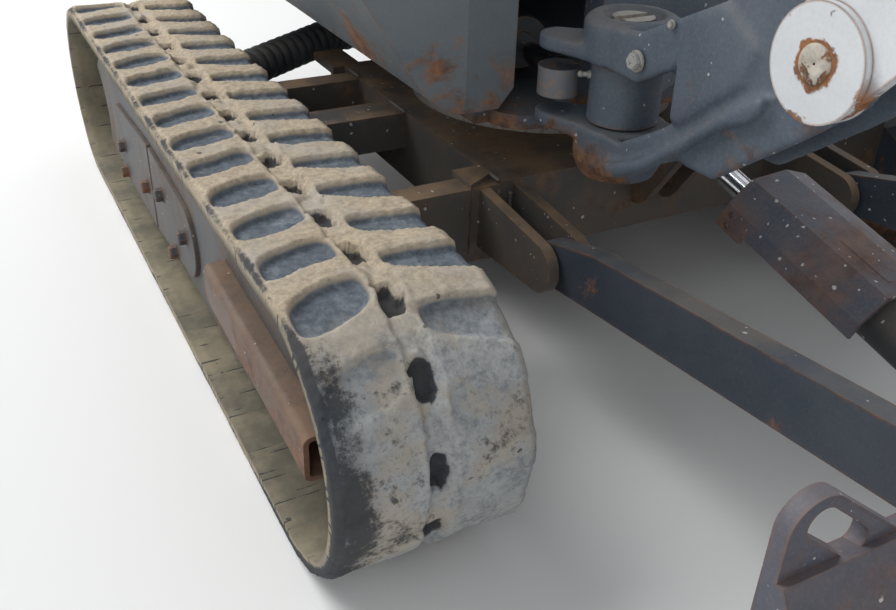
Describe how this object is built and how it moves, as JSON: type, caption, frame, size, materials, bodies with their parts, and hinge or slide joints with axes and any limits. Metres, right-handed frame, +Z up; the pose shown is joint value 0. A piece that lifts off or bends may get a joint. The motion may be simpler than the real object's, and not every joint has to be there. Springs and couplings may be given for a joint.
{
  "type": "mini excavator",
  "caption": "small tracked digger with a side-swinging boom, arm and toothed bucket, a levelling blade in front and a seat under a posted canopy",
  "frame": {"origin": "on the ground under the middle of the machine's bounding box, boom stored as in the picture", "axes": "+Z up; the blade, boom and bucket are towards -Y; the machine's own right side is -X"},
  "size_m": [1.36, 3.4563, 2.285],
  "materials": {
    "track_rubber": "matt",
    "hose_rubber": "matt",
    "frame_paint": "semi-gloss, worn",
    "bare_steel": "machined",
    "rusty_plate": "rusted",
    "white_paint": "gloss, chipped",
    "cylinder_paint": "semi-gloss",
    "chrome_rod": "polished",
    "engine_iron": "cast",
    "seat_vinyl": "matt",
    "lever_plastic": "matt"
  },
  "bodies": {
    "undercarriage": {"track_left": "track_rubber", "track_right": "track_rubber", "side_frames": "frame_paint", "idlers": "frame_paint", "rollers": "frame_paint", "final_drives": "frame_paint", "step_bars": "frame_paint", "centre_frame": "frame_paint", "slew_ring": "bare_steel", "travel_hoses": "hose_rubber"},
    "blade": {"blade_arms": "frame_paint", "blade_board": "rusty_plate"},
    "blade_barrel": {"blade_cylinder": "cylinder_paint", "blade_cylinder_guard": "rusty_plate"},
    "blade_rod": {"blade_cylinder_rod": "chrome_rod"},
    "house": {"revolving_frame": "frame_paint", "right_cover": "frame_paint", "left_skirt": "frame_paint", "floor_deck": "frame_paint", "engine": "engine_iron", "counterweight": "frame_paint", "side_panels": "frame_paint", "seat_base": "frame_paint", "seat": "seat_vinyl", "joystick_consoles": "lever_plastic", "travel_levers": "lever_plastic", "canopy_frame": "frame_paint", "canopy_roof": "white_paint"},
    "hood": {"engine_hood": "white_paint"},
    "swing_barrel": {"swing_cylinder": "cylinder_paint"},
    "swing_rod": {"swing_cylinder_rod": "chrome_rod"},
    "swing": {"swing_bracket": "frame_paint", "king_pin": "bare_steel"},
    "boom": {"boom": "white_paint"},
    "boom_barrel": {"boom_cylinder": "white_paint"},
    "boom_rod": {"boom_cylinder_rod": "chrome_rod"},
    "arm": {"arm": "white_paint"},
    "arm_barrel": {"arm_cylinder": "white_paint"},
    "arm_rod": {"arm_cylinder_rod": "chrome_rod"},
    "bucket_barrel": {"bucket_cylinder": "white_paint"},
    "bucket_rod": {"bucket_cylinder_rod": "chrome_rod"},
    "rocker": {"rocker": "frame_paint"},
    "link": {"bucket_link": "frame_paint"},
    "bucket": {"bucket": "rusty_plate"}
  },
  "joints": [
    {"name": "house_slew", "type": "hinge", "parent": "undercarriage", "child": "house", "pos_m": [0, 0.66815, 0.375], "axis": [0, 0, 1], "continuous": true},
    {"name": "blade_lift", "type": "hinge", "parent": "undercarriage", "child": "blade", "pos_m": [0, 0.19315, 0.246], "axis": [-1, 0, 0], "range_deg": [-38, 4]},
    {"name": "hood_lift", "type": "hinge", "parent": "house", "child": "hood", "pos_m": [0, 1.22615, 0.999], "axis": [1, 0, 0], "range_deg": [0, 60]},
    {"name": "boom_swing", "type": "hinge", "parent": "house", "child": "swing", "pos_m": [-0.19, 0.19215, 0.46], "axis": [0, 0, 1], "range_deg": [-45, 70]},
    {"name": "boom_lift", "type": "hinge", "parent": "swing", "child": "boom", "pos_m": [-0.19, -0.15385, 0.608], "axis": [-1, 0, 0], "range_deg": [-75, 25]},
    {"name": "arm_crowd", "type": "hinge", "parent": "boom", "child": "arm", "pos_m": [-0.19, -1.56485, 1.426], "axis": [1, 0, 0], "range_deg": [-70, 32]},
    {"name": "bucket_curl", "type": "hinge", "parent": "arm", "child": "bucket", "pos_m": [-0.19, -1.3912, 0.44119], "axis": [-1, 0, 0], "range_deg": [-85, 40]},
    {"name": "blade_barrel_turn", "type": "hinge", "parent": "blade", "child": "blade_barrel", "pos_m": [0, -0.26185, 0.222], "axis": [1, 0, 0], "range_deg": [-7.74, 1.26]},
    {"name": "blade_rod_slide", "type": "slide", "parent": "blade_barrel", "child": "blade_rod", "axis": [0, 0.9757, 0.2191], "range_m": [-0.0059, 0.0386]},
    {"name": "swing_barrel_turn", "type": "hinge", "parent": "house", "child": "swing_barrel", "pos_m": [-0.115, 0.73815, 0.467], "axis": [0, 0, 1], "range_deg": [-2.67, 1.89]},
    {"name": "swing_rod_slide", "type": "slide", "parent": "swing_barrel", "child": "swing_rod", "axis": [-0.255, -0.9669, 0], "range_m": [-0.0595, 0.0915]},
    {"name": "boom_barrel_turn", "type": "hinge", "parent": "swing", "child": "boom_barrel", "pos_m": [-0.19, -0.04685, 0.78], "axis": [1, 0, 0], "range_deg": [-25, 74.01]},
    {"name": "boom_rod_slide", "type": "slide", "parent": "boom_barrel", "child": "boom_rod", "axis": [0, -0.6168, 0.7871], "range_m": [-0.085, 0.251]},
    {"name": "arm_barrel_turn", "type": "hinge", "parent": "boom", "child": "arm_barrel", "pos_m": [-0.19, -0.78185, 1.465], "axis": [1, 0, 0], "range_deg": [-2.2, 4.21]},
    {"name": "arm_rod_slide", "type": "slide", "parent": "arm_barrel", "child": "arm_rod", "axis": [0, -0.9707, 0.2403], "range_m": [-0.2678, 0.1235]},
    {"name": "rocker_turn", "type": "hinge", "parent": "arm", "child": "rocker", "pos_m": [-0.19, -1.42912, 0.62744], "axis": [1, 0, 0], "range_deg": [-34.21, 72.13]},
    {"name": "link_turn", "type": "hinge", "parent": "rocker", "child": "link", "pos_m": [-0.19, -1.57944, 0.61616], "axis": [1, 0, 0], "range_deg": [-73.56, 34.88]},
    {"name": "bucket_barrel_turn", "type": "hinge", "parent": "arm", "child": "bucket_barrel", "pos_m": [-0.19, -1.70215, 1.34086], "axis": [1, 0, 0], "range_deg": [-2.19, 4.09]},
    {"name": "bucket_rod_slide", "type": "slide", "parent": "bucket_barrel", "child": "bucket_rod", "axis": [0, 0.1669, -0.986], "range_m": [-0.082, 0.172]}
  ],
  "couplings": [
    {"joint": "blade_barrel_turn", "follows": "blade_lift", "ratio": 0.19059},
    {"joint": "blade_rod_slide", "follows": "blade_lift", "m_per_rad": -0.055185},
    {"joint": "swing_barrel_turn", "follows": "boom_swing", "ratio": -0.030986},
    {"joint": "swing_rod_slide", "follows": "boom_swing", "m_per_rad": 0.073239},
    {"joint": "boom_barrel_turn", "follows": "boom_lift", "ratio": -0.98012},
    {"joint": "boom_rod_slide", "follows": "boom_lift", "m_per_rad": -0.19026},
    {"joint": "arm_barrel_turn", "follows": "arm_crowd", "ratio": -0.052976},
    {"joint": "arm_rod_slide", "follows": "arm_crowd", "m_per_rad": 0.21755},
    {"joint": "rocker_turn", "follows": "bucket_curl", "ratio": -0.84269},
    {"joint": "link_turn", "follows": "bucket_curl", "ratio": 0.85951},
    {"joint": "bucket_barrel_turn", "follows": "bucket_curl", "ratio": -0.04222},
    {"joint": "bucket_rod_slide", "follows": "bucket_curl", "m_per_rad": -0.11458}
  ]
}
